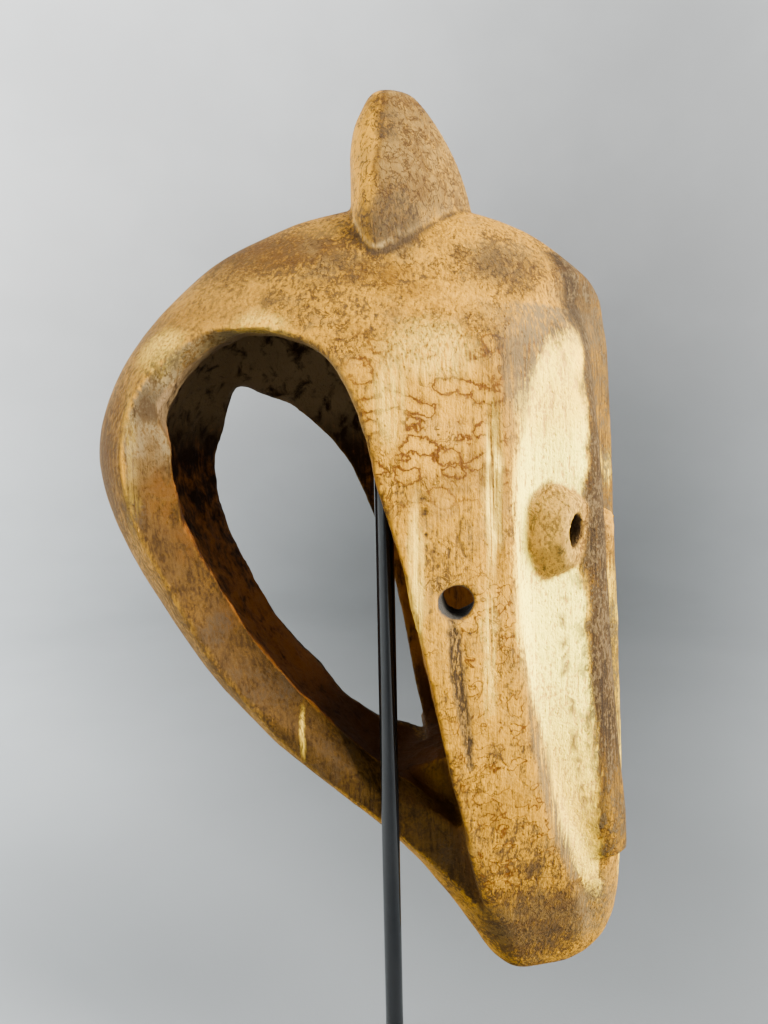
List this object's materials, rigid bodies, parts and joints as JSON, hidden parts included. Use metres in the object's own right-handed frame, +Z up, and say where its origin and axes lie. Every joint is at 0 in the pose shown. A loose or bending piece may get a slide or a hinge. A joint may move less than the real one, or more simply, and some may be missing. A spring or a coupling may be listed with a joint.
{
  "type": "two-faced carved wooden mask on a display stand",
  "caption": "Carved wooden mask with paired long hollow-cheeked faces, tube eyes, a crest horn and a broad back loop, held up by a slim black rod on a flat foot.",
  "frame": {"origin": "centre of breadth on the foot's underside, straight below the mask's middle plane, at the rod's x", "axes": "+X is where the faces look, +Z is up, +Y is the side away from the rod"},
  "size_m": [0.2004, 0.11, 0.434],
  "materials": {
    "wood": "old honey-coloured carved wood, hand-polished, with stain lines, dark rubbed dirt and whitened faces",
    "black_steel": "glossy black paint"
  },
  "bodies": {
    "root": {"mask": "wood", "stand_rod": "black_steel", "stand_foot": "black_steel"}
  },
  "joints": []
}
